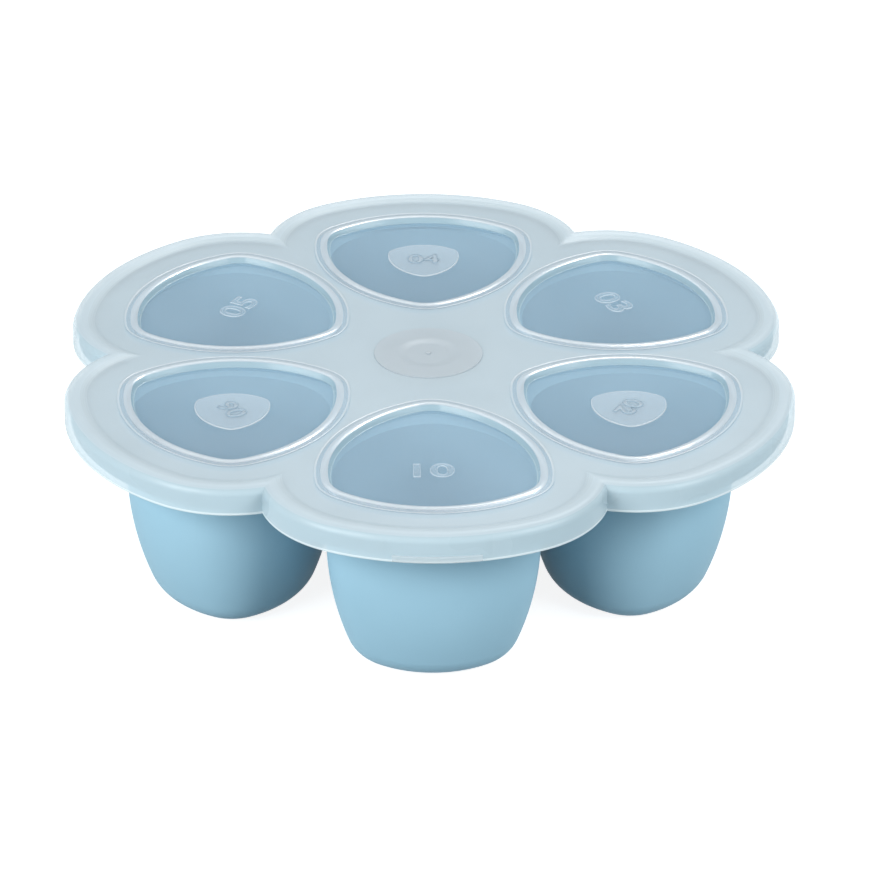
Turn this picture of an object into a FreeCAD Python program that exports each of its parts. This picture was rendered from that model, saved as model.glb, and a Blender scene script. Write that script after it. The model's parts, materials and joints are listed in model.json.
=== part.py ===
import FreeCAD, Part
import math
import os

# A freezer tray for baby food: six rounded-triangle cups hang from a six-lobed deck, under a lift-off lid
# with six plug-in windows. Millimetres. Origin at the middle of the plane that the cups stand on, +Z up.

V = FreeCAD.Vector
UP = V(0, 0, 1)

cup_count = 6

# Cup mouth: a rounded triangle with one corner towards the tray's axis
mouth_side_reach = 30.0        # from the mouth's middle to the middle of a bowed side
mouth_corner_stand = 5.1       # a corner's tip lies this much further out than a side
mouth_corner_radius = 10.6

# Tray
tray_height = 62.3             # from the cups' feet to the top of the deck
deck_thickness = 2.4
deck_rim_drop = 5.0            # height of the rim round the deck's edge
deck_rim_width = 2.6
deck_edge_round = 0.8
seat_ledge = 1.2               # step from the wide mouth, which takes the lid's plug, in to the bowl
mouth_edge_round = 0.5
collar_wall = 1.8
funnel_drop = 1.2              # the mouth's outline turns into the bowl's over this height

# Bowl of a cup, outside: a straight side, a belly arc and a foot arc, tangent to each other
bowl_shift = 1.15              # the bowl hangs this much further out than the mouth
bowl_side_step = 1.8           # and its side reaches this much further than the mouth's
bowl_corner_stand = 2.6
bowl_corner_radius = 23.5
bowl_draft = 0.5               # degrees
bowl_belly_radius = 95.0
bowl_belly_turn = 21.0         # degrees from upright, where the belly meets the foot
bowl_foot_radius = 11.0
cup_wall = 1.9

# Lid
lid_sheet = 1.4
lid_rest_gap = 0.3             # between the lid's underside and the deck
lobe_margin = 15.55            # from a window's bead to the lobe's tip
lobe_tip_radius = 73.0
lobe_tip_half_angle = 26.1     # degrees of tip arc each side of the lobe's middle
lobe_shoulder_radius = 37.3
rim_rise = 1.0                 # the lid's rounded rim stands this much above its flat sheet
rim_crest = 0.3                # flat top of the rim, inside its outer rounding
rim_slope = 1.6                # from the crest in to the sheet
skirt_drop = 9.1               # from the rim's top to the skirt's foot
skirt_wall = 1.3
skirt_flare = 0.2
lid_edge_round = 2.8
skirt_foot_round = 0.5
rim_clearance = 0.5            # between the tray's rim and the inside of the skirt

# Lid details
gate_disc_radius = 17.3
gate_disc_height = 0.4
gate_disc_round = 0.24
gate_dimple_radius = 10.5
gate_dimple_depth = 0.4
gate_dimple_slope = 4.0        # how far the dimple's side slopes in
gate_nub_radius = 0.8
gate_nub_height = 0.5
lift_tab_width = 26.8
lift_tab_height = 2.6
lift_tab_stand = 0.7
snap_rib_width = 1.0
snap_rib_offset = 2.4          # from the lift tab's end to the rib beside it
snap_rib_clearance = 0.25      # between a rib and the tray's rim

# Windows
bead_width = 4.3
bead_gap = 2.25                # between the beads of neighbouring windows
bead_height = 0.6
bead_round = 0.55
pan_depth = 1.3                # from the lid's top face down to the window
pan_wall = 1.2
pan_draft = 0.4
pan_floor_round = 0.6
window_thickness = 1.2
plug_foot_round = 0.5
plug_clearance = 0.35          # between the plug and the mouth that takes it
plug_foot_clearance = 0.7      # between the plug's underside and the ledge below it
badge_side_reach = 11.1
badge_corner_stand = 1.8
badge_corner_radius = 4.0
badge_height = 0.35
badge_shift = 0.5              # outwards from the mouth's middle
badged_cups = (2, 4, 6)

level_tolerance = 0.01         # an edge within this of a height lies at that height

# Reaches, heights and offsets worked out from the sizes above
mouth_corner_reach = mouth_side_reach + mouth_corner_stand
bowl_side_reach = mouth_side_reach + bowl_side_step
bowl_corner_reach = bowl_side_reach + bowl_corner_stand
cup_pitch_radius = 2.0 * (mouth_side_reach + bead_width) + bead_gap    # to the middle of each mouth
lobe_tip_reach = cup_pitch_radius + mouth_side_reach + bead_width + lobe_margin
deck_top = tray_height
deck_bottom = deck_top - deck_thickness
lid_bottom = deck_top + lid_rest_gap
lid_top = lid_bottom + lid_sheet
rim_top = lid_top + rim_rise
rim_underside = rim_top - lid_sheet
window_top = lid_top - pan_depth
window_bottom = window_top - window_thickness
skirt_foot = rim_top - skirt_drop
seat_floor = window_bottom - plug_foot_clearance
collar_bottom = seat_floor - cup_wall
seat_offset = pan_wall + plug_clearance
collar_offset = seat_offset + collar_wall


def direction(degrees):
    return V(math.cos(math.radians(degrees)), math.sin(math.radians(degrees)), 0)


def triangle_arcs(side_reach, corner_reach, corner_radius, offset):
    """The six arcs of a rounded triangle with one corner towards -X: (centre, radius, start and end angle).

    Reaches are measured from the middle to a side's middle and to a corner's tip. offset grows the outline
    and keeps the arcs' centres, so two outlines with the same reaches run parallel."""
    corner_centre = corner_reach - corner_radius
    half_gap = corner_centre * math.sqrt(3.0) / 2.0
    reach = side_reach - corner_centre / 2.0
    side_radius = (reach ** 2 - corner_radius ** 2 + half_gap ** 2) / (2.0 * (reach - corner_radius))
    side_centre = side_reach - side_radius
    half_side = math.degrees(math.atan2(half_gap, corner_centre / 2.0 - side_centre))
    arcs = []
    for turn in (0.0, 120.0, 240.0):
        arcs.append((direction(turn) * side_centre, side_radius + offset, turn - half_side, turn + half_side))
        corner = turn + 60.0
        arcs.append((
            direction(corner) * corner_centre, corner_radius + offset,
            turn + half_side, turn + 120.0 - half_side,
        ))
    return arcs


def triangle_wire(arcs, z):
    edges = []
    for centre, radius, start, end in arcs:
        points = [centre + direction(angle) * radius + UP * z for angle in (start, (start + end) / 2.0, end)]
        edges.append(Part.Arc(*points).toShape())
    return Part.Wire(edges)


def mouth_wire(offset, z):
    return triangle_wire(triangle_arcs(mouth_side_reach, mouth_corner_reach, mouth_corner_radius, offset), z)


def edges_at(shape, z):
    """The shape's edges that lie at height z."""
    return [
        edge for edge in shape.Edges
        if abs(edge.BoundBox.ZMin - z) < level_tolerance and abs(edge.BoundBox.ZMax - z) < level_tolerance
    ]


def prism(wire, height):
    return Part.Face(wire).extrude(UP * height)


def mouth_prism(offset, z_low, z_high):
    return prism(mouth_wire(offset, z_low), z_high - z_low)


def bowl_arcs(offset):
    return triangle_arcs(bowl_side_reach, bowl_corner_reach, bowl_corner_radius, offset)


def side_inset(wall, z):
    """How far inside the bowl's outline its straight side stands at height z, a wall's thickness in."""
    draft = math.radians(bowl_draft)
    return wall / math.cos(draft) + (collar_bottom - z) * math.tan(draft)


def bowl_profile(wall, top):
    """Points (inset, height) of the bowl's side, a wall's thickness inside the outer face, from the top down.

    The first pair is the straight side, then follow two threes: the belly arc and the foot arc."""
    draft, turn = math.radians(bowl_draft), math.radians(bowl_belly_turn)
    arc_step = bowl_belly_radius - bowl_foot_radius
    belly_height = bowl_foot_radius + arc_step * math.sin(turn)
    side_foot = belly_height - bowl_belly_radius * math.sin(draft)
    belly_inset = bowl_belly_radius * math.cos(draft) + (collar_bottom - side_foot) * math.tan(draft)
    foot_inset = belly_inset - arc_step * math.cos(turn)

    def on_arc(inset, height, radius, angle):
        return inset - radius * math.cos(angle), height - radius * math.sin(angle)

    belly = [on_arc(belly_inset, belly_height, bowl_belly_radius - wall, angle)
             for angle in (draft, (draft + turn) / 2.0, turn)]
    foot = [on_arc(foot_inset, bowl_foot_radius, bowl_foot_radius - wall, angle)
            for angle in (turn, (turn + math.pi / 2.0) / 2.0, math.pi / 2.0)]
    return [[(side_inset(wall, top), top), belly[0]], belly, foot]


def bowl_solid(wall, top):
    """The bowl's body inside the given wall: its side profile turned about the centre of each outline arc."""
    profile = bowl_profile(wall, top)
    faces = []
    for centre, radius, start, end in bowl_arcs(0.0):
        for points in profile:
            placed = [centre + direction(start) * (radius - inset) + UP * z for inset, z in points]
            edge = Part.makeLine(*placed) if len(placed) == 2 else Part.Arc(*placed).toShape()
            faces.append(edge.revolve(centre, UP, end - start))
    foot_inset, foot = profile[-1][-1]
    faces.append(Part.Face(triangle_wire(bowl_arcs(-side_inset(wall, top)), top)))
    faces.append(Part.Face(triangle_wire(bowl_arcs(-foot_inset), foot)))
    shell = Part.makeShell(faces)
    shell.sewShape()
    solid = Part.makeSolid(Part.Shell(shell.Faces))
    return solid if solid.Volume > 0 else solid.reversed()


def cup_form(wall, neck, neck_offset, mouth_offset):
    """Body of a cup inside the given wall: bowl, mouth, and a funnel that turns one outline into the other.

    neck is the height of the funnel's top, where its outline is neck_offset outside the mouth's."""
    bowl_top = neck - funnel_drop
    shift = V(bowl_shift, 0, 0)
    bowl = bowl_solid(wall, bowl_top).translated(shift)
    bowl_outline = triangle_wire(bowl_arcs(-side_inset(wall, bowl_top)), bowl_top).translated(shift)
    funnel = Part.makeLoft([bowl_outline, mouth_wire(neck_offset, neck)], True, True)
    return bowl.fuse(funnel).fuse(mouth_prism(mouth_offset, neck, deck_top))


def make_cup():
    outside = cup_form(0.0, collar_bottom, collar_offset, collar_offset)
    inside = cup_form(cup_wall, seat_floor, seat_offset - seat_ledge, seat_offset)
    cup = outside.cut(inside).removeSplitter()
    collar_middle = Part.Face(mouth_wire((seat_offset + collar_offset) / 2.0, deck_top))
    mouth_edges = [edge for edge in edges_at(cup, deck_top)
                   if collar_middle.isInside(edge.valueAt(edge.FirstParameter), level_tolerance, True)]
    return cup.makeFillet(mouth_edge_round, mouth_edges)


def flower_wire(offset, z):
    """Closed wire of the six-lobed outline, grown outwards by offset, with a lobe towards -Y."""
    tip_centre = lobe_tip_reach - lobe_tip_radius
    half = math.radians(lobe_tip_half_angle)
    shoulder_centre = (
        tip_centre + (lobe_tip_radius - lobe_shoulder_radius) * math.cos(half),
        (lobe_tip_radius - lobe_shoulder_radius) * math.sin(half),
    )
    tip_grown = lobe_tip_radius + offset
    shoulder_grown = lobe_shoulder_radius + offset
    notch_angle = math.pi / cup_count
    along = shoulder_centre[0] * math.cos(notch_angle) + shoulder_centre[1] * math.sin(notch_angle)
    centre_reach = math.hypot(*shoulder_centre)
    notch_reach = along + math.sqrt(along ** 2 - centre_reach ** 2 + shoulder_grown ** 2)
    notch = (notch_reach * math.cos(notch_angle), notch_reach * math.sin(notch_angle))
    notch_turn = math.atan2(notch[1] - shoulder_centre[1], notch[0] - shoulder_centre[0])
    middle_turn = (half + notch_turn) / 2.0
    joint = (tip_centre + tip_grown * math.cos(half), tip_grown * math.sin(half))
    shoulder_mid = (
        shoulder_centre[0] + shoulder_grown * math.cos(middle_turn),
        shoulder_centre[1] + shoulder_grown * math.sin(middle_turn),
    )

    edges = []
    for lobe in range(cup_count):
        turn = 2.0 * math.pi * lobe / cup_count - math.pi / 2.0

        def at(point, side):
            x, y = point[0], point[1] * side
            return V(x * math.cos(turn) - y * math.sin(turn), x * math.sin(turn) + y * math.cos(turn), z)

        edges.append(Part.Arc(at(notch, -1), at(shoulder_mid, -1), at(joint, -1)).toShape())
        edges.append(Part.Arc(at(joint, -1), at((tip_centre + tip_grown, 0.0), 1), at(joint, 1)).toShape())
        edges.append(Part.Arc(at(joint, 1), at(shoulder_mid, 1), at(notch, 1)).toShape())
    return Part.Wire(edges)


def flared_flower(offset_low, offset_high, z_low, z_high):
    return Part.makeLoft([flower_wire(offset_low, z_low), flower_wire(offset_high, z_high)], True, True)


def at_each_cup(shape, cup):
    """The shape, drawn about a mouth's middle with outwards along +X, moved to cup number cup."""
    placed = shape.copy()
    placed.translate(V(cup_pitch_radius, 0, 0))
    placed.rotate(V(0, 0, 0), UP, 360.0 * (cup - 1) / cup_count - 90.0)
    return placed


def skirt_offset(z):
    """How far outside the lid's top outline the skirt's outer face stands at height z."""
    return skirt_flare * (rim_top - z) / skirt_drop


def make_tray_deck():
    rim_bottom = deck_top - deck_rim_drop
    edge = skirt_offset(deck_top) - skirt_wall - rim_clearance
    deck = prism(flower_wire(edge, rim_bottom), deck_rim_drop)
    hollow = prism(flower_wire(edge - deck_rim_width, rim_bottom), deck_rim_drop - deck_thickness)
    deck = deck.cut(hollow)
    deck = deck.makeFillet(deck_edge_round, edges_at(deck, deck_top))
    hole = mouth_prism(collar_offset, deck_bottom, deck_top)
    for cup in range(1, cup_count + 1):
        deck = deck.cut(at_each_cup(hole, cup))
    return deck


def make_lid_frame():
    shell = flared_flower(skirt_flare, 0.0, skirt_foot, rim_top)
    shell = shell.makeFillet(lid_edge_round, edges_at(shell, rim_top))
    shell = shell.makeFillet(skirt_foot_round, edges_at(shell, skirt_foot))
    crest_inside = -lid_edge_round - rim_crest
    slope_foot = crest_inside - rim_slope
    shell = shell.cut(flared_flower(slope_foot, crest_inside, lid_top, rim_top))
    low_inside = skirt_flare - skirt_wall
    high_inside = skirt_offset(rim_underside) - skirt_wall
    hollow = flared_flower(low_inside, high_inside, skirt_foot, rim_underside)
    hollow = hollow.makeFillet(lid_edge_round - skirt_wall, edges_at(hollow, rim_underside))
    hollow = hollow.cut(flared_flower(slope_foot, crest_inside, lid_bottom, rim_underside))
    lid = shell.cut(hollow)
    disc_top = lid_top + gate_disc_height
    disc = Part.makeCylinder(gate_disc_radius, gate_disc_height, V(0, 0, lid_top))
    disc = disc.makeFillet(gate_disc_round, edges_at(disc, disc_top))
    dimple_floor = V(0, 0, disc_top - gate_dimple_depth)
    dimple_floor_radius = gate_dimple_radius - gate_dimple_slope
    dimple = Part.makeCone(dimple_floor_radius, gate_dimple_radius, gate_dimple_depth, dimple_floor)
    nub = Part.makeCylinder(gate_nub_radius, gate_nub_height, dimple_floor)
    lid = lid.fuse(disc).cut(dimple).fuse(nub)
    opening = mouth_prism(bead_width, lid_bottom, lid_top)
    for cup in range(1, cup_count + 1):
        lid = lid.cut(at_each_cup(opening, cup))
    return lid.fuse(make_lift_tab()).fuse(make_snap_ribs()).removeSplitter()


def skirt_band(inner, outer, z_low, z_high):
    """Ring between two offsets from the lid's outline, following the skirt's flare."""
    low, high = skirt_offset(z_low), skirt_offset(z_high)
    ring = flared_flower(low + outer, high + outer, z_low, z_high)
    return ring.cut(flared_flower(low + inner, high + inner, z_low, z_high))


def front_block(x_low, x_high, z_low, z_high):
    """Block from the tray's axis out past the front lobe."""
    length = 2.0 * lobe_tip_reach
    return Part.makeBox(x_high - x_low, length, z_high - z_low, V(x_low, -length, z_low))


def make_lift_tab():
    """A shallow ledge for a fingertip on the front lobe's skirt. It starts inside the skirt's wall."""
    half = lift_tab_width / 2.0
    band = skirt_band(-skirt_wall / 2.0, lift_tab_stand, skirt_foot, skirt_foot + lift_tab_height)
    return band.common(front_block(-half, half, skirt_foot, skirt_foot + lift_tab_height))


def make_snap_ribs():
    """Two upright ribs inside the front lobe's skirt, one past each end of the lift tab."""
    near = lift_tab_width / 2.0 + snap_rib_offset
    rib_depth = rim_clearance - snap_rib_clearance
    band = skirt_band(-skirt_wall - rib_depth, -skirt_wall / 2.0, skirt_foot + skirt_foot_round, lid_bottom)
    right = band.common(front_block(near, near + snap_rib_width, skirt_foot, lid_bottom))
    left = band.common(front_block(-near - snap_rib_width, -near, skirt_foot, lid_bottom))
    return right.fuse(left)


def make_window(badged):
    bead_top = lid_top + bead_height
    window = mouth_prism(bead_width, lid_bottom, bead_top)
    window = window.fuse(mouth_prism(pan_wall, window_bottom, lid_bottom))
    pan = Part.makeLoft([mouth_wire(-pan_draft, window_top), mouth_wire(0.0, bead_top)], True, True)
    window = window.cut(pan).removeSplitter()
    window = window.makeFillet(bead_round, edges_at(window, bead_top))
    window = window.makeFillet(pan_floor_round, edges_at(window, window_top))
    window = window.makeFillet(plug_foot_round, edges_at(window, window_bottom))
    if badged:
        badge_corner_reach = badge_side_reach + badge_corner_stand
        badge_arcs = triangle_arcs(badge_side_reach, badge_corner_reach, badge_corner_radius, 0.0)
        badge = prism(triangle_wire(badge_arcs, window_top), badge_height)
        window = window.fuse(badge.translated(V(badge_shift, 0, 0)))
    return window


def save(shape, name):
    assert shape.isValid(), name
    print(f"{name}: {len(shape.Solids)} solid, {shape.Volume / 1000.0:.2f} cm3")
    shape.exportStep(f"parts/{name}.step")


os.makedirs("parts", exist_ok=True)
save(make_tray_deck(), "tray_deck")
save(make_lid_frame(), "lid_frame")
cup_shape = make_cup()
for cup in range(1, cup_count + 1):
    save(at_each_cup(cup_shape, cup), f"cup_{cup}")
    save(at_each_cup(make_window(cup in badged_cups), cup), f"lid_window_{cup}")
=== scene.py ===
import json
import math

import bmesh
import bpy
from mathutils import Matrix, Vector
from mathutils.geometry import tessellate_polygon


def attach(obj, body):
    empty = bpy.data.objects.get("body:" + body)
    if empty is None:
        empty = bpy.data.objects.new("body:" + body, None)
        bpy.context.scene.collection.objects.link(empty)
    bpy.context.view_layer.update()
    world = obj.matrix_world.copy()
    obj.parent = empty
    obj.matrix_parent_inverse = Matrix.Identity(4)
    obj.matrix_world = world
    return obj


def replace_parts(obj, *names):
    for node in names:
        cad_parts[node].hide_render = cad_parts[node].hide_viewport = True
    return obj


# A freezer tray for baby food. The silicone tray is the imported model's own. The translucent lid is rebuilt
# here as smooth shells, with its windows, badges and numbers. Angles are in degrees. Lengths are in
# millimetres until a mesh is made, and in metres for the lamps and the floor.

MM = 0.001
CUP_COUNT = 6

# Window's bead: a raised band round the mouth's outline
BEAD_WIDTH = 4.3
BEAD_GAP = 2.25                # between the beads of neighbouring windows
BEAD_HEIGHT = 0.6
BEAD_FOOT_HEIGHT = 0.2         # upright foot of the bead
BEAD_LIP = 0.7                 # rounded lip beside the foot
BEAD_LIP_RISE = 0.1
BEAD_SLOPE_RISE = 0.16         # from the lip up to the ridge
RIDGE_WIDTH = 2.3              # rounded ridge beside the pan

# Cup mouth and window outline: a rounded triangle with one corner towards the tray's axis
MOUTH_SIDE_REACH = 30.0        # from the mouth's middle to the middle of a bowed side
MOUTH_CORNER_REACH = MOUTH_SIDE_REACH + 5.1
MOUTH_CORNER_RADIUS = 10.6
CUP_PITCH_RADIUS = 2.0 * (MOUTH_SIDE_REACH + BEAD_WIDTH) + BEAD_GAP

# Lid outline: six lobes, each a tip arc between two shoulder arcs
LOBE_MARGIN = 15.55            # from a window's bead to the lobe's tip
LOBE_TIP_REACH = CUP_PITCH_RADIUS + MOUTH_SIDE_REACH + BEAD_WIDTH + LOBE_MARGIN
LOBE_TIP_RADIUS = 73.0
LOBE_TIP_HALF_ANGLE = 26.1
LOBE_SHOULDER_RADIUS = 37.3

# Lid's sheet and rim. Heights are above the cups' feet, and a slope's ends are inside the outline
SHEET_TOP = 64.0
SHEET_THICKNESS = 1.4
SHEET_BOTTOM = SHEET_TOP - SHEET_THICKNESS
RIM_TOP = SHEET_TOP + 1.0
RIM_SLOPE_TOP = 2.9
RIM_SLOPE_FOOT = 8.3
UNDER_SLOPE_TOP = 3.1          # of the same slope on the underside
UNDER_SLOPE_FOOT = 4.7
LID_EDGE_ROUND = 2.8

# Skirt
SKIRT_FOOT = RIM_TOP - 9.1
SKIRT_WALL = 1.3
SKIRT_FLARE = 0.2              # how far the foot stands out past the rim's top
SKIRT_FOOT_ROUND = 0.5
FOOT_LINE = 0.5                # height of the painted highlight line above the foot's round

# Lift tab and snap ribs
TAB_HALF_WIDTH = 13.4
TAB_LOW = SKIRT_FOOT + 0.5
TAB_HIGH = SKIRT_FOOT + 2.5
TAB_STAND = 0.5
TAB_ROUND = 0.3
TAB_ROOT = 0.2                 # how far inside the skirt's foot it starts
RIB_NEAR = TAB_HALF_WIDTH + 2.4    # from the lobe's middle to a rib
RIB_WIDTH = 1.0
RIB_DEPTH = 0.25
RIB_ROOT = 0.4                 # how far inside the skirt's wall it starts

# Gate disc
DISC_RADIUS = 17.3
DISC_TOP = SHEET_TOP + 0.4
DISC_ROUND = 0.24
DIMPLE_RADIUS = 10.5
DIMPLE_MARGIN = 0.8            # narrow flat ring round the dimple
DIMPLE_SLOPE = 4.0
NUB_RADIUS = 0.8
NUB_TOP = SHEET_TOP + 0.5
NUB_ROUND = 0.25

# Windows
PAN_WALL = 1.2
PAN_DRAFT = 0.6
PAN_FLOOR_ROUND = 0.4
PLUG_FOOT_ROUND = 0.5
WINDOW_TOP = SHEET_TOP - 1.3
WINDOW_BOTTOM = WINDOW_TOP - 1.2

# Badges
BADGED_CUPS = (2, 4, 6)
BADGE_SIDE_REACH = 11.1
BADGE_CORNER_REACH = 12.9
BADGE_CORNER_RADIUS = 4.0
BADGE_TOP = WINDOW_TOP + 0.35
BADGE_REACH = CUP_PITCH_RADIUS + 0.5    # from the tray's axis to the badge's middle
BADGE_EDGE = 0.3

# Numbers. A place is how far from the tray's axis and how far across, and a stretch widens them
BADGE_NUMBER_HEIGHT = 6.4
BADGE_NUMBER_STRETCH = 1.2
PLAIN_NUMBER_HEIGHT = 8.3
PLAIN_NUMBER_STRETCH = 1.35
PLAIN_NUMBER_PLACES = {1: (75.6, 0.0), 3: (72.5, -3.0), 5: (71.2, 1.2)}
NUMBER_FONT_SIZE = 1.37        # for a digit of height 1
NUMBER_BOLDNESS = 0.012        # outline's growth for a digit of height 1
NUMBER_EXTRUDE = 0.12
NUMBER_BEVEL = 0.16
NUMBER_LEVEL = 0.95            # a face whose normal is this upright is a digit's top or back

# Steps along arcs, slopes and the digits' curves
OUTLINE_STEPS = 24
CIRCLE_STEPS = 96
FINE_STEPS = 12
SLOPE_STEPS = 8
PROFILE_STEPS = 6
SMALL_STEPS = 4
DIGIT_STEPS = 8
DIGIT_BEVEL_STEPS = 2

# Meshes
WELD_DISTANCE = 0.001
SHARP_ANGLE = 34.0             # an edge that turns more than this stays sharp
NORMAL_WEIGHT = 100            # large faces decide the normals at their edges

# Kinds of face on the sheet, a window, a number and a rib. A kind is the place of its material in the mesh
FLAT, RIM_IN, RIM_MID, RIM_OUT, CREST, SKIRT, DISC, FOOT_HIGHLIGHT, TAB = range(9)
CLEAR, BEAD, RIDGE, BADGE, PAINTED_HIGHLIGHT, SHADE, WALL = range(7)
TOP, SIDE, BACK = range(3)
RIB = 0

# Kinds of the bands up the rim's slope, over its crest and part of the way round its edge. The skirt's follow
RIM_BANDS = [FLAT] * 2 + [RIM_IN, RIM_MID, RIM_OUT] + [CREST] * 9


def direction(degrees):
    angle = math.radians(degrees)
    return Vector((math.cos(angle), math.sin(angle)))


# Outlines ---------------------------------------------------------------------------------------------------


def triangle_outline(side_reach, corner_reach, corner_radius, offset):
    """Points of a rounded triangle with one corner towards -X, grown by offset."""
    corner_centre = corner_reach - corner_radius
    half_gap = corner_centre * math.sqrt(3.0) / 2.0
    reach = side_reach - corner_centre / 2.0
    side_radius = (reach ** 2 - corner_radius ** 2 + half_gap ** 2) / (2.0 * (reach - corner_radius))
    side_centre = side_reach - side_radius
    half_side = math.degrees(math.atan2(half_gap, corner_centre / 2.0 - side_centre))
    points = []
    for turn in (0.0, 120.0, 240.0):
        side = direction(turn) * side_centre
        corner = direction(turn + 60.0) * corner_centre
        for step in range(OUTLINE_STEPS):
            angle = turn - half_side + 2.0 * half_side * step / OUTLINE_STEPS
            points.append(side + direction(angle) * (side_radius + offset))
        for step in range(OUTLINE_STEPS):
            angle = turn + half_side + (120.0 - 2.0 * half_side) * step / OUTLINE_STEPS
            points.append(corner + direction(angle) * (corner_radius + offset))
    return points


def mouth_outline(offset):
    return triangle_outline(MOUTH_SIDE_REACH, MOUTH_CORNER_REACH, MOUTH_CORNER_RADIUS, offset)


def badge_outline(offset):
    return triangle_outline(BADGE_SIDE_REACH, BADGE_CORNER_REACH, BADGE_CORNER_RADIUS, offset)


def cup_turn(cup):
    """Direction of a cup from the tray's axis. Cup 1 is at the front."""
    return 360.0 * (cup - 1) / CUP_COUNT - 90.0


def at_cup(points, cup, reach=CUP_PITCH_RADIUS):
    """Points with outwards along +X, moved out from the tray's axis by reach towards a cup."""
    along = direction(cup_turn(cup))
    across = Vector((-along.y, along.x))
    return [along * (reach + p.x) + across * p.y for p in points]


def half_lobe(offset):
    """Points of the upper half of a lobe along +X, from its tip round to the notch."""
    half = math.radians(LOBE_TIP_HALF_ANGLE)
    tip_centre = LOBE_TIP_REACH - LOBE_TIP_RADIUS
    step_in = LOBE_TIP_RADIUS - LOBE_SHOULDER_RADIUS
    shoulder = Vector((tip_centre + step_in * math.cos(half), step_in * math.sin(half)))
    radius = LOBE_SHOULDER_RADIUS + offset
    notch_way = direction(180.0 / CUP_COUNT)
    along = shoulder.dot(notch_way)
    notch = notch_way * (along + math.sqrt(along ** 2 - shoulder.length_squared + radius ** 2))
    notch_turn = math.atan2(notch.y - shoulder.y, notch.x - shoulder.x)
    tip_radius = LOBE_TIP_RADIUS + offset
    points = []
    for step in range(OUTLINE_STEPS + 1):
        angle = half * step / OUTLINE_STEPS
        points.append(Vector((tip_centre + tip_radius * math.cos(angle), tip_radius * math.sin(angle))))
    for step in range(1, OUTLINE_STEPS + 1):
        angle = half + (notch_turn - half) * step / OUTLINE_STEPS
        points.append(shoulder + Vector((math.cos(angle), math.sin(angle))) * radius)
    return points


def lobe_outline(offset):
    """Points of the six-lobed outline, grown by offset, from the notch before the front lobe."""
    upper = half_lobe(offset)
    lobe = [Vector((p.x, -p.y)) for p in reversed(upper[1:])] + upper[:-1]
    points = []
    for cup in range(1, CUP_COUNT + 1):
        points += at_cup(lobe, cup, 0.0)
    return points


def front_arc(offset, x_low, x_high, steps):
    """Points of the front lobe's tip arc between two places across it."""
    radius = LOBE_TIP_RADIUS + offset
    centre = LOBE_TIP_REACH - LOBE_TIP_RADIUS
    points = []
    for step in range(steps + 1):
        x = x_low + (x_high - x_low) * step / steps
        points.append(Vector((x, -centre - math.sqrt(radius ** 2 - x ** 2))))
    return points


def circle(radius):
    return [direction(360.0 * step / CIRCLE_STEPS) * radius for step in range(CIRCLE_STEPS)]


# Profiles: points (offset, height) --------------------------------------------------------------------------


def rounding(centre, radius, start, end, steps=PROFILE_STEPS):
    """An arc about centre, from one angle to the other."""
    points = []
    for step in range(steps + 1):
        way = direction(start + (end - start) * step / steps)
        points.append((centre[0] + way.x * radius, centre[1] + way.y * radius))
    return points


def eased(start, end):
    """A slope from start to end, level at both."""
    points = []
    for step in range(SLOPE_STEPS + 1):
        part = step / SLOPE_STEPS
        rise = part * part * (3.0 - 2.0 * part)
        points.append((start[0] + (end[0] - start[0]) * part, start[1] + (end[1] - start[1]) * rise))
    return points


def domed(start, end, crown, steps=SLOPE_STEPS):
    """A line from start to end, bowed up by crown halfway."""
    points = []
    for step in range(steps + 1):
        part = step / steps
        lift = 4.0 * crown * part * (1.0 - part)
        points.append((start[0] + (end[0] - start[0]) * part, start[1] + (end[1] - start[1]) * part + lift))
    return points


# Meshes -----------------------------------------------------------------------------------------------------


def weld(mesh):
    """Joins points that lie on each other."""
    work = bmesh.new()
    work.from_mesh(mesh)
    bmesh.ops.remove_doubles(work, verts=work.verts, dist=WELD_DISTANCE * MM)
    work.to_mesh(mesh)
    work.free()


def set_materials(mesh, materials):
    """Gives a mesh its materials, which are by kind of face."""
    mesh.materials.clear()
    for kind in sorted(materials):
        mesh.materials.append(materials[kind])


def add_to_lid(name, mesh):
    """A piece that moves with the lid."""
    piece = bpy.data.objects.new(name, mesh)
    bpy.context.scene.collection.objects.link(piece)
    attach(piece, "lid")
    return piece


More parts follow.
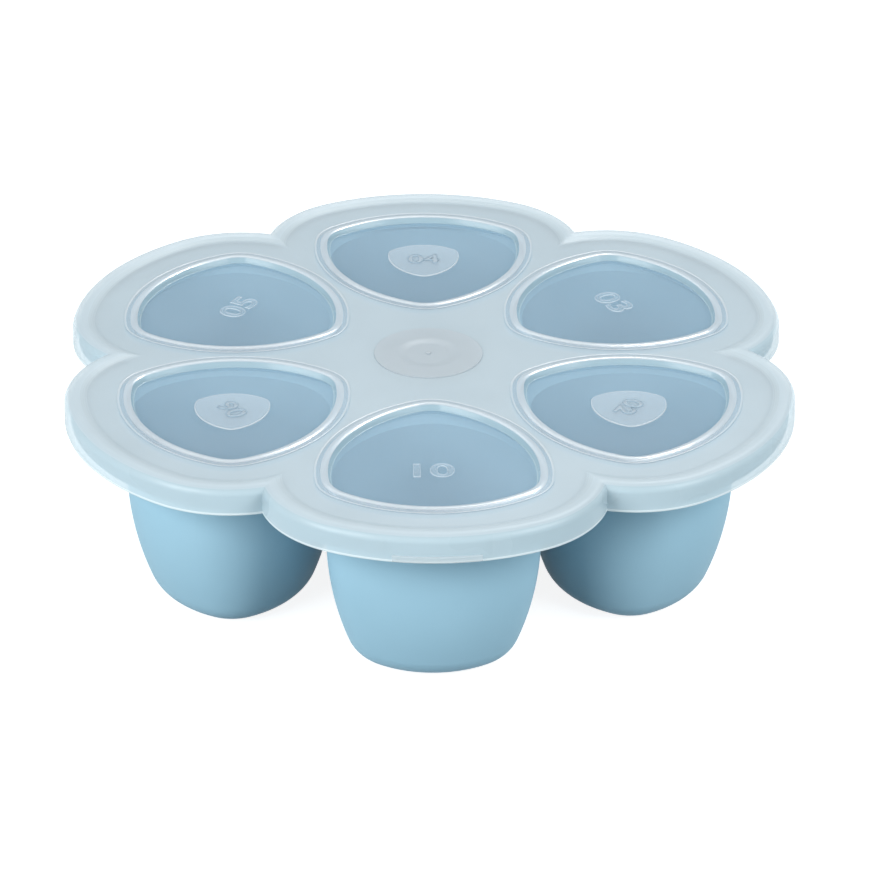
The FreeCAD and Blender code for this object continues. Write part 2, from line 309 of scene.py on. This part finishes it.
class Shell:
    """A mesh built from rings of points, with a kind for each face."""

    def __init__(self):
        self.points = []
        self.faces = []
        self.kinds = []

    def ring(self, outline, z):
        start = len(self.points)
        self.points += [(p.x, p.y, z) for p in outline]
        return list(range(start, len(self.points)))

    def face(self, corners, kind):
        self.faces.append(corners)
        self.kinds.append(kind)

    def band(self, first, second, kind, closed=True):
        """Quads between rings of as many points, facing away from the middle when the second is lower."""
        count = len(first)
        for i in range(count if closed else count - 1):
            j = (i + 1) % count
            self.face((first[i], second[i], second[j], first[j]), kind)

    def bands(self, rings, kind, closed=True):
        for first, second in zip(rings, rings[1:]):
            self.band(first, second, kind, closed)

    def cap(self, ring, kind, up=True):
        self.face(tuple(ring if up else reversed(ring)), kind)

    def plate(self, outer, holes, kind, up=True):
        """Flat face between an outer ring and the rings of its holes."""
        rings = [outer] + holes
        order = [index for ring in rings for index in ring]
        for corners in tessellate_polygon([[self.points[i] for i in ring] for ring in rings]):
            a, b, c = (Vector(self.points[order[k]]) for k in corners)
            facing_up = (b - a).cross(c - a).z > 0.0
            corners = corners if facing_up == up else tuple(reversed(corners))
            self.face(tuple(order[k] for k in corners), kind)

    def close_ends(self, rows, kind):
        """Faces over the first and last points of open rows."""
        self.face(tuple(row[0] for row in rows), kind)
        self.face(tuple(row[-1] for row in reversed(rows)), kind)

    def build(self, name, materials):
        mesh = bpy.data.meshes.new(name)
        mesh.from_pydata([Vector(p) * MM for p in self.points], [], self.faces)
        set_materials(mesh, materials)
        for polygon, kind in zip(mesh.polygons, self.kinds):
            polygon.material_index = kind
            polygon.use_smooth = True
        weld(mesh)
        mesh.set_sharp_from_angle(angle=math.radians(SHARP_ANGLE))
        piece = add_to_lid(name, mesh)
        normals = piece.modifiers.new("normals", "WEIGHTED_NORMAL")
        normals.weight = NORMAL_WEIGHT
        normals.keep_sharp = True
        return piece


# Materials --------------------------------------------------------------------------------------------------

NOISE_LOW, NOISE_HIGH = 0.3, 0.7    # most of a noise lies between these
TONE_SPREAD = 0.015                 # how far the lid's colour wanders either way
ROUGHNESS_SPREAD = 0.1              # as a share of the roughness


def new_material(name, **sockets):
    """A material and its Principled shader, with uniform sockets set by name."""
    material = bpy.data.materials.new(name)
    material.use_nodes = True
    shader = material.node_tree.nodes["Principled BSDF"]
    for socket, value in sockets.items():
        shader.inputs[socket.replace("_", " ")].default_value = value
    return material, shader


def add_noise(material, scale, detail):
    nodes, links = material.node_tree.nodes, material.node_tree.links
    place = nodes.new("ShaderNodeTexCoord")
    noise = nodes.new("ShaderNodeTexNoise")
    noise.inputs["Scale"].default_value = scale
    noise.inputs["Detail"].default_value = detail
    links.new(place.outputs["Object"], noise.inputs["Vector"])
    return noise.outputs["Fac"]


def vary_colour(material, shader, amount, low, high):
    nodes, links = material.node_tree.nodes, material.node_tree.links
    ramp = nodes.new("ShaderNodeValToRGB")
    for element, position, colour in zip(ramp.color_ramp.elements, (NOISE_LOW, NOISE_HIGH), (low, high)):
        element.position = position
        element.color = (*colour, 1.0)
    links.new(amount, ramp.inputs["Fac"])
    links.new(ramp.outputs["Color"], shader.inputs["Base Color"])


def vary_roughness(material, shader, amount, low, high):
    nodes, links = material.node_tree.nodes, material.node_tree.links
    spread = nodes.new("ShaderNodeMapRange")
    spread.inputs["From Min"].default_value = NOISE_LOW
    spread.inputs["From Max"].default_value = NOISE_HIGH
    spread.inputs["To Min"].default_value = low
    spread.inputs["To Max"].default_value = high
    links.new(amount, spread.inputs["Value"])
    links.new(spread.outputs["Result"], shader.inputs["Roughness"])


def add_bump(material, shader, height, distance, strength):
    nodes, links = material.node_tree.nodes, material.node_tree.links
    bump = nodes.new("ShaderNodeBump")
    bump.inputs["Distance"].default_value = distance * MM
    bump.inputs["Strength"].default_value = strength
    links.new(height, bump.inputs["Height"])
    links.new(bump.outputs["Normal"], shader.inputs["Normal"])


def make_silicone():
    """The tray's matt silicone."""
    material, shader = new_material(
        "silicone", IOR=1.41, Specular_IOR_Level=0.12, Sheen_Weight=0.05, Sheen_Roughness=0.4)
    cloud = add_noise(material, scale=22.0, detail=3.0)
    vary_colour(material, shader, cloud, low=(0.325, 0.532, 0.650), high=(0.347, 0.556, 0.674))
    vary_roughness(material, shader, cloud, low=0.52, high=0.6)
    grain = add_noise(material, scale=2600.0, detail=2.0)
    add_bump(material, shader, grain, distance=0.02, strength=0.6)
    return material


def make_plastic(name, alpha, roughness, tone, gloss=0.5, grain=0.05):
    """Translucent plastic. tone is its colour, and grain is how strong its fine bump is."""
    material, shader = new_material(name, IOR=1.49, Alpha=alpha, Specular_IOR_Level=gloss)
    cloud = add_noise(material, scale=30.0, detail=2.0)
    low = tuple(value - TONE_SPREAD for value in tone)
    high = tuple(value + TONE_SPREAD for value in tone)
    vary_colour(material, shader, cloud, low, high)
    low = roughness * (1.0 - ROUGHNESS_SPREAD)
    high = roughness * (1.0 + ROUGHNESS_SPREAD)
    vary_roughness(material, shader, cloud, low, high)
    bumps = add_noise(material, scale=1800.0, detail=2.0)
    add_bump(material, shader, bumps, distance=0.01, strength=grain)
    return material


def make_sheet_materials():
    """Materials of the lid's sheet by kind. The rim turns milky in steps, up to its crest."""
    return {
        FLAT: make_plastic("lid_flat", 0.48, 0.32, tone=(0.57, 0.645, 0.685), gloss=0.3, grain=0.3),
        RIM_IN: make_plastic("lid_rim_1", 0.55, 0.34, tone=(0.56, 0.64, 0.68), gloss=0.3, grain=0.3),
        RIM_MID: make_plastic("lid_rim_2", 0.63, 0.36, tone=(0.55, 0.63, 0.67), gloss=0.25, grain=0.3),
        RIM_OUT: make_plastic("lid_rim_3", 0.71, 0.38, tone=(0.52, 0.60, 0.64), gloss=0.2, grain=0.3),
        CREST: make_plastic("lid_crest", 0.8, 0.4, tone=(0.50, 0.58, 0.625), gloss=0.15, grain=0.3),
        SKIRT: make_plastic("lid_skirt", 0.58, 0.28, tone=(0.60, 0.735, 0.795), gloss=0.3, grain=0.1),
        DISC: make_plastic("lid_disc", 0.56, 0.34, tone=(0.50, 0.54, 0.57), gloss=0.3, grain=0.3),
        # The skirt's foot and its round are lighter: a painted highlight along the lid's bottom edge
        FOOT_HIGHLIGHT: make_plastic("lid_foot_highlight", 0.7, 0.25, tone=(0.80, 0.89, 0.92), gloss=0.3),
        TAB: make_plastic("lift_tab", 0.4, 0.25, tone=(0.67, 0.72, 0.74), gloss=0.3),
    }


def make_window_materials():
    """Materials of a window by kind."""
    return {
        CLEAR: make_plastic("window_clear", 0.28, 0.12, tone=(0.40, 0.55, 0.665), gloss=0.35, grain=0.02),
        BEAD: make_plastic("window_bead", 0.36, 0.25, tone=(0.58, 0.64, 0.68)),
        RIDGE: make_plastic("window_ridge", 0.55, 0.2, tone=(0.62, 0.66, 0.69), gloss=1.0),
        BADGE: make_plastic("badge_face", 0.25, 0.4, tone=(0.74, 0.80, 0.84)),
        # The bead's lip and the badge's edge are lighter: a painted highlight
        PAINTED_HIGHLIGHT: make_plastic("window_painted_highlight", 0.45, 0.25, tone=(0.76, 0.80, 0.82)),
        # The bead's upright foot is darker: a painted contact shadow where the bead meets the sheet
        SHADE: make_plastic("window_foot_shade", 0.6, 0.3, tone=(0.42, 0.50, 0.56)),
        WALL: make_plastic("window_wall", 0.45, 0.2, tone=(0.52, 0.66, 0.70), gloss=0.5, grain=0.02),
    }


def make_number_materials():
    """Materials of a badge's number, with painted shade, and of a plain window's, with a painted highlight,
    each by kind.
    """
    face = make_plastic("number_face", 0.08, 0.3, tone=(0.75, 0.82, 0.87))
    # A plain number's sides are lighter: a painted highlight on the digits' bevels
    edge = make_plastic("number_edge_highlight", 0.4, 0.3, tone=(0.80, 0.88, 0.94))
    # A badge's number is dark on its sides and back: painted shade on the raised digits
    shade = make_plastic("number_shade", 0.7, 0.3, tone=(0.25, 0.37, 0.46))
    return {TOP: face, SIDE: shade, BACK: shade}, {TOP: face, SIDE: edge, BACK: face}


# Lid --------------------------------------------------------------------------------------------------------


def skirt_offset(z):
    """How far the skirt's face stands out from the lid's outline at a height."""
    return SKIRT_FLARE * (RIM_TOP - z) / (RIM_TOP - SKIRT_FOOT)


def rim_profiles():
    """Profiles from the sheet over the rim and down the skirt, round its foot, and up inside to the sheet."""
    edge_z = RIM_TOP - LID_EDGE_ROUND
    edge_out = skirt_offset(edge_z) - LID_EDGE_ROUND
    foot_z = SKIRT_FOOT + SKIRT_FOOT_ROUND
    foot_out = skirt_offset(foot_z) - SKIRT_FOOT_ROUND
    foot_in = foot_out - SKIRT_WALL + 2.0 * SKIRT_FOOT_ROUND
    line_z = foot_z + FOOT_LINE
    over = eased((-RIM_SLOPE_FOOT, SHEET_TOP), (-RIM_SLOPE_TOP, RIM_TOP))
    over += rounding((edge_out, edge_z), LID_EDGE_ROUND, 90.0, 0.0, FINE_STEPS)
    over += [(skirt_offset(line_z), line_z)]
    under = rounding((foot_out, foot_z), SKIRT_FOOT_ROUND, 0.0, -90.0)
    under += rounding((foot_in, foot_z), SKIRT_FOOT_ROUND, -90.0, -180.0)
    inner_round = LID_EDGE_ROUND - SKIRT_WALL
    inner_z = RIM_TOP - SHEET_THICKNESS - inner_round
    inner = rounding((skirt_offset(inner_z) - LID_EDGE_ROUND, inner_z), inner_round, 0.0, 90.0)
    inner += eased((-UNDER_SLOPE_TOP, RIM_TOP - SHEET_THICKNESS), (-UNDER_SLOPE_FOOT, SHEET_BOTTOM))
    return over, under, inner


def make_lid_sheet(materials):
    """The lid's flat sheet, its rim and skirt and its gate disc, with an opening for each window."""
    shell = Shell()

    def rings(profile):
        return [shell.ring(lobe_outline(offset), z) for offset, z in profile]

    over, under, inner = (rings(profile) for profile in rim_profiles())
    kinds = RIM_BANDS + [SKIRT] * (len(over) - 1 - len(RIM_BANDS))
    for first, second, kind in zip(over, over[1:], kinds):
        shell.band(first, second, kind)
    shell.bands([over[-1]] + under, FOOT_HIGHLIGHT)
    shell.bands([under[-1]] + inner, SKIRT)
    holes = [at_cup(mouth_outline(BEAD_WIDTH), cup) for cup in range(1, CUP_COUNT + 1)]
    gate = shell.ring(circle(DISC_RADIUS), SHEET_TOP)
    shell.plate(over[0], [shell.ring(hole, SHEET_TOP) for hole in holes] + [gate], FLAT)
    shell.plate(inner[-1], [shell.ring(hole, SHEET_BOTTOM) for hole in holes], FLAT, up=False)
    add_gate(shell, gate)
    add_tab(shell)
    return shell.build("lid_sheet", materials)


def add_gate(shell, gate):
    """The gate disc on the ring gate, with a dimple in it and a nub in the dimple."""
    profile = rounding((DISC_RADIUS - DISC_ROUND, DISC_TOP - DISC_ROUND), DISC_ROUND, 0.0, 90.0)
    profile += [(DIMPLE_RADIUS + DIMPLE_MARGIN, DISC_TOP)]
    profile += eased((DIMPLE_RADIUS, DISC_TOP), (DIMPLE_RADIUS - DIMPLE_SLOPE, SHEET_TOP))
    disc = [gate] + [shell.ring(circle(radius), z) for radius, z in profile]
    profile = [(NUB_RADIUS, SHEET_TOP)]
    profile += rounding((NUB_RADIUS - NUB_ROUND, NUB_TOP - NUB_ROUND), NUB_ROUND, 0.0, 90.0)
    nub = [shell.ring(circle(radius), z) for radius, z in profile]
    shell.bands(list(reversed(disc + nub)), DISC)
    shell.cap(nub[-1], DISC)


def add_tab(shell):
    """The lift tab: a shallow ledge at the foot of the front lobe's skirt."""
    root = SKIRT_FLARE - TAB_ROOT
    turn = SKIRT_FLARE + TAB_STAND - TAB_ROUND
    profile = [(root, TAB_HIGH)]
    profile += rounding((turn, TAB_HIGH - TAB_ROUND), TAB_ROUND, 90.0, 0.0, SMALL_STEPS)
    profile += rounding((turn, TAB_LOW + TAB_ROUND), TAB_ROUND, 0.0, -90.0, SMALL_STEPS)
    profile += [(root, TAB_LOW)]
    rows = []
    for offset, z in profile:
        rows.append(shell.ring(front_arc(offset, -TAB_HALF_WIDTH, TAB_HALF_WIDTH, OUTLINE_STEPS), z))
    shell.bands(rows, TAB, closed=False)
    shell.close_ends(rows, TAB)


def make_ribs(materials):
    """Two upright snap ribs inside the front lobe's skirt."""
    shell = Shell()
    low, high = SKIRT_FOOT + SKIRT_FOOT_ROUND, SHEET_BOTTOM
    inset = skirt_offset(low) - SKIRT_WALL
    root, face = inset + RIB_ROOT, inset - RIB_DEPTH
    for start in (-RIB_NEAR - RIB_WIDTH, RIB_NEAR):
        rows = []
        for offset, z in ((root, low), (face, low), (face, high), (root, high)):
            rows.append(shell.ring(front_arc(offset, start, start + RIB_WIDTH, SMALL_STEPS), z))
        shell.bands(rows, RIB, closed=False)
        shell.band(rows[-1], rows[0], RIB, closed=False)
        shell.close_ends(rows, RIB)
    shell.build("snap_ribs", materials)


def bead_profiles():
    """The bead's section from its foot on the sheet inwards, with the kind of each part of it."""
    foot_top = SHEET_TOP + BEAD_FOOT_HEIGHT
    ridge_foot = foot_top + BEAD_SLOPE_RISE
    ridge_rise = SHEET_TOP + BEAD_HEIGHT - ridge_foot
    foot = [(BEAD_WIDTH, SHEET_TOP), (BEAD_WIDTH, foot_top)]
    lip = domed(foot[-1], (BEAD_WIDTH - BEAD_LIP, foot_top), BEAD_LIP_RISE)
    slope = [lip[-1], (RIDGE_WIDTH, ridge_foot)]
    ridge = domed(slope[-1], (0.0, ridge_foot), ridge_rise, FINE_STEPS)
    return (foot, SHADE), (lip, PAINTED_HIGHLIGHT), (slope, BEAD), (ridge, RIDGE)


def make_window(cup, materials):
    """A window: its bead, the pan sunk inside it, the plug under them, and its badge if it has one."""
    shell = Shell()

    def rings(profile):
        return [shell.ring(at_cup(mouth_outline(offset), cup), z) for offset, z in profile]

    pan_corner = (-PAN_DRAFT - PAN_FLOOR_ROUND, WINDOW_TOP + PAN_FLOOR_ROUND)
    plug_corner = (PAN_WALL - PLUG_FOOT_ROUND, WINDOW_BOTTOM + PLUG_FOOT_ROUND)
    for profile, kind in bead_profiles():
        bead = rings(profile)
        shell.bands(list(reversed(bead)), kind)
    pan = rings(rounding(pan_corner, PAN_FLOOR_ROUND, 0.0, -90.0))
    shell.bands(list(reversed([bead[-1]] + pan)), WALL)
    shell.cap(pan[-1], CLEAR)
    plug = rings([(BEAD_WIDTH, SHEET_BOTTOM), (PAN_WALL, SHEET_BOTTOM)])
    plug += rings(rounding(plug_corner, PLUG_FOOT_ROUND, 0.0, -90.0))
    shell.bands(plug, CLEAR)
    shell.cap(plug[-1], CLEAR, up=False)
    if cup in BADGED_CUPS:
        add_badge(shell, cup)
    return shell.build(f"window_{cup}", materials)


def add_badge(shell, cup):
    """The raised rounded triangle in the middle of a window."""
    profile = [(0.0, WINDOW_TOP)]
    profile += rounding((-BADGE_EDGE, BADGE_TOP - BADGE_EDGE), BADGE_EDGE, 0.0, 90.0, SMALL_STEPS)
    badge = [shell.ring(at_cup(badge_outline(offset), cup, BADGE_REACH), z) for offset, z in profile]
    shell.bands(list(reversed(badge)), PAINTED_HIGHLIGHT)
    shell.cap(badge[-1], BADGE)


def number_mesh(text, height):
    """Raised digits of that height, centred, with their tops along +Y."""
    curve = bpy.data.curves.new("number", "FONT")
    curve.body = text
    curve.size = height * MM * NUMBER_FONT_SIZE
    curve.offset = height * MM * NUMBER_BOLDNESS
    curve.extrude = NUMBER_EXTRUDE * MM
    curve.bevel_depth = NUMBER_BEVEL * MM
    curve.bevel_resolution = DIGIT_BEVEL_STEPS
    curve.resolution_u = DIGIT_STEPS
    source = bpy.data.objects.new("number", curve)
    bpy.context.scene.collection.objects.link(source)
    bpy.context.view_layer.update()
    mesh = bpy.data.meshes.new_from_object(source.evaluated_get(bpy.context.evaluated_depsgraph_get()))
    bpy.data.objects.remove(source)
    bpy.data.curves.remove(curve)
    for axis in (0, 1):
        values = [vertex.co[axis] for vertex in mesh.vertices]
        middle = (max(values) + min(values)) / 2.0
        for vertex in mesh.vertices:
            vertex.co[axis] -= middle
    return mesh


def make_number(cup, height, stretch, place, base, materials):
    """A cup's number at height base, with its top outwards."""
    mesh = number_mesh(f"{cup:02d}", height)
    along = direction(cup_turn(cup))
    across = Vector((along.y, -along.x))
    outwards, sideways = place
    for vertex in mesh.vertices:
        x, y, z = vertex.co
        spot = along * (outwards * MM + y) + across * (sideways * MM + x * stretch)
        vertex.co = (spot.x, spot.y, base * MM + z)
    set_materials(mesh, materials)
    for polygon in mesh.polygons:
        if polygon.normal.z > NUMBER_LEVEL:
            polygon.material_index = TOP
        elif polygon.normal.z < -NUMBER_LEVEL:
            polygon.material_index = BACK
        else:
            polygon.material_index = SIDE
    mesh.validate()
    add_to_lid(f"number_{cup}", mesh)


def make_lid():
    """The lid's pieces. Its sheet and windows take the place of their CAD nodes."""
    sheet_materials = make_sheet_materials()
    window_materials = make_window_materials()
    badge_number, plain_number = make_number_materials()
    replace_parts(make_lid_sheet(sheet_materials), "lid_frame")
    make_ribs({RIB: sheet_materials[SKIRT]})
    for cup in range(1, CUP_COUNT + 1):
        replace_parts(make_window(cup, window_materials), f"lid_window_{cup}")
        if cup in BADGED_CUPS:
            place = (BADGE_REACH, 0.0)
            make_number(cup, BADGE_NUMBER_HEIGHT, BADGE_NUMBER_STRETCH, place, BADGE_TOP, badge_number)
        else:
            place = PLAIN_NUMBER_PLACES[cup]
            make_number(cup, PLAIN_NUMBER_HEIGHT, PLAIN_NUMBER_STRETCH, place, WINDOW_TOP, plain_number)


# Studio -----------------------------------------------------------------------------------------------------

CAMERA_DISTANCE = 1361.65
CAMERA_ELEVATION = 28.052
CAMERA_TURN = 1.483                 # how far round the tray's axis the camera stands
CAMERA_ROLL = 0.286
FOCAL_PIXELS = 4279.6
IMAGE_SIDE = 870
AIM_PIXEL = (428.4, 351.910)        # where the tray's axis meets the aim height
AIM_HEIGHT = 64.55
SENSOR = 36.0

LAMP_AIM = Vector((0.0, 0.0, 0.03))
WORLD_TINT = (0.82, 0.94, 1.0, 1.0)
WHITE = (1.0, 1.0, 1.0, 1.0)
FLOOR_HALF = 3.0
FLOOR_DROP = 0.0004                 # the floor lies this far under the feet
FLOOR_TONE = (0.35, 0.39, 0.41, 1.0)
FADE_START, FADE_END = 0.4, 1.4     # the floor turns white between these distances from its middle


def make_camera():
    """A camera that sees the tray's axis at AIM_PIXEL, at the height AIM_HEIGHT."""
    elevation, roll = math.radians(CAMERA_ELEVATION), math.radians(CAMERA_ROLL)
    ahead = Vector((0.0, math.cos(elevation), -math.sin(elevation)))
    level_right = Vector((1.0, 0.0, 0.0))
    level_up = Vector((0.0, math.sin(elevation), math.cos(elevation)))
    right = level_right * math.cos(roll) + level_up * math.sin(roll)
    up = level_up * math.cos(roll) - level_right * math.sin(roll)
    middle = IMAGE_SIDE / 2.0
    aside = (AIM_PIXEL[0] - middle) / FOCAL_PIXELS * CAMERA_DISTANCE
    above = (middle - AIM_PIXEL[1]) / FOCAL_PIXELS * CAMERA_DISTANCE
    place = -(right * aside + up * above + ahead * CAMERA_DISTANCE)
    lift = Matrix.Translation(Vector((0.0, 0.0, AIM_HEIGHT * MM)))
    turn = Matrix.Rotation(math.radians(-CAMERA_TURN), 4, "Z")
    facing = Matrix((right, up, -ahead)).transposed().to_4x4()
    lens = bpy.data.cameras.new("camera")
    lens.sensor_width = SENSOR
    lens.lens = FOCAL_PIXELS / IMAGE_SIDE * SENSOR
    camera = bpy.data.objects.new("camera", lens)
    camera.matrix_world = lift @ turn @ Matrix.Translation(place * MM) @ facing
    bpy.context.scene.collection.objects.link(camera)
    bpy.context.scene.camera = camera


def make_area_light(name, turn, elevation, distance, size, watts):
    """A softbox aimed at the tray. turn is its direction from straight in front of it, towards the right."""
    across = direction(turn - 90.0) * math.cos(math.radians(elevation))
    place = LAMP_AIM + Vector((across.x, across.y, math.sin(math.radians(elevation)))) * distance
    lamp = bpy.data.lights.new(name, "AREA")
    lamp.shape = "RECTANGLE"
    lamp.size, lamp.size_y = size
    lamp.energy = watts
    light = bpy.data.objects.new(name, lamp)
    light.location = place
    light.rotation_euler = (LAMP_AIM - place).to_track_quat("-Z", "Y").to_euler()
    bpy.context.scene.collection.objects.link(light)


def seen_directly(nodes, links):
    """1 for rays from the camera, mirrors and glass, 0 for rays that light the object."""
    path = nodes.new("ShaderNodeLightPath")
    total = path.outputs["Is Camera Ray"]
    for kind in ("Is Glossy Ray", "Is Transmission Ray"):
        add = nodes.new("ShaderNodeMath")
        add.operation = "MAXIMUM"
        links.new(total, add.inputs[0])
        links.new(path.outputs[kind], add.inputs[1])
        total = add.outputs[0]
    return total


def make_world(light_strength):
    """A faint light from all round, with a white background."""
    world = bpy.data.worlds.new("studio")
    bpy.context.scene.world = world
    world.use_nodes = True
    nodes, links = world.node_tree.nodes, world.node_tree.links
    nodes.clear()
    lit = nodes.new("ShaderNodeBackground")
    lit.inputs["Color"].default_value = WORLD_TINT
    lit.inputs["Strength"].default_value = light_strength
    white = nodes.new("ShaderNodeBackground")
    white.inputs["Color"].default_value = WHITE
    white.inputs["Strength"].default_value = 1.0
    mix = nodes.new("ShaderNodeMixShader")
    out = nodes.new("ShaderNodeOutputWorld")
    links.new(seen_directly(nodes, links), mix.inputs["Fac"])
    links.new(lit.outputs[0], mix.inputs[1])
    links.new(white.outputs[0], mix.inputs[2])
    links.new(mix.outputs[0], out.inputs["Surface"])


def fade_outwards(nodes, links, near_value):
    """near_value round the object, rising to 1 far from it."""
    place = nodes.new("ShaderNodeTexCoord")
    distance = nodes.new("ShaderNodeVectorMath")
    distance.operation = "LENGTH"
    fade = nodes.new("ShaderNodeMapRange")
    fade.inputs["From Min"].default_value = FADE_START
    fade.inputs["From Max"].default_value = FADE_END
    fade.inputs["To Min"].default_value = near_value
    fade.inputs["To Max"].default_value = 1.0
    links.new(place.outputs["Object"], distance.inputs[0])
    links.new(distance.outputs["Value"], fade.inputs["Value"])
    return fade.outputs["Result"]


def make_floor(glow):
    """A floor that takes the object's shadow. glow is how bright it is by itself near the object."""
    mesh = bpy.data.meshes.new("floor")
    low, high = -FLOOR_HALF, FLOOR_HALF
    mesh.from_pydata([(low, low, 0), (high, low, 0), (high, high, 0), (low, high, 0)], [], [(0, 1, 2, 3)])
    floor = bpy.data.objects.new("floor", mesh)
    floor.location.z = -FLOOR_DROP
    bpy.context.scene.collection.objects.link(floor)
    material, shader = new_material(
        "floor", Base_Color=FLOOR_TONE, Roughness=0.9, Specular_IOR_Level=0.0, Emission_Color=WHITE)
    nodes, links = material.node_tree.nodes, material.node_tree.links
    scale = nodes.new("ShaderNodeMath")
    scale.operation = "MULTIPLY"
    links.new(seen_directly(nodes, links), scale.inputs[0])
    links.new(fade_outwards(nodes, links, glow), scale.inputs[1])
    links.new(scale.outputs[0], shader.inputs["Emission Strength"])
    mesh.materials.append(material)


def make_studio():
    """The camera, the light and the floor."""
    make_camera()
    make_world(light_strength=0.26)
    make_area_light("left", turn=-50.0, elevation=27.0, distance=1.2, size=(0.8, 0.6), watts=13.0)
    make_area_light("right", turn=54.0, elevation=33.0, distance=1.2, size=(0.7, 0.6), watts=9.5)
    make_area_light("back_soft", turn=178.0, elevation=46.0, distance=1.5, size=(0.9, 0.42), watts=4.7)
    make_area_light("back_spot", turn=161.0, elevation=48.0, distance=1.5, size=(0.38, 0.08), watts=7.5)
    make_floor(glow=0.88)


# Scene ------------------------------------------------------------------------------------------------------

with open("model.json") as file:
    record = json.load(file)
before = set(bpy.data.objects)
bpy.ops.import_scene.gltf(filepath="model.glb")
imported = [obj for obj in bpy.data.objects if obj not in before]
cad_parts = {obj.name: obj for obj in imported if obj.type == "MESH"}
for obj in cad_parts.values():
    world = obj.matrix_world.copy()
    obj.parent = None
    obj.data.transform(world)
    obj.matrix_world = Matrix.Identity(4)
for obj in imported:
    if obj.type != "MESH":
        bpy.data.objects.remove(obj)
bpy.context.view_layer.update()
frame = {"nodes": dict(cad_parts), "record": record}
bpy.context.scene.view_settings.view_transform = "Standard"

silicone = make_silicone()
for name in frame["record"]["behaviour"]["bodies"]["tray"]:
    node = frame["nodes"][name]
    node.data.materials.clear()
    node.data.materials.append(silicone)

make_lid()
make_studio()
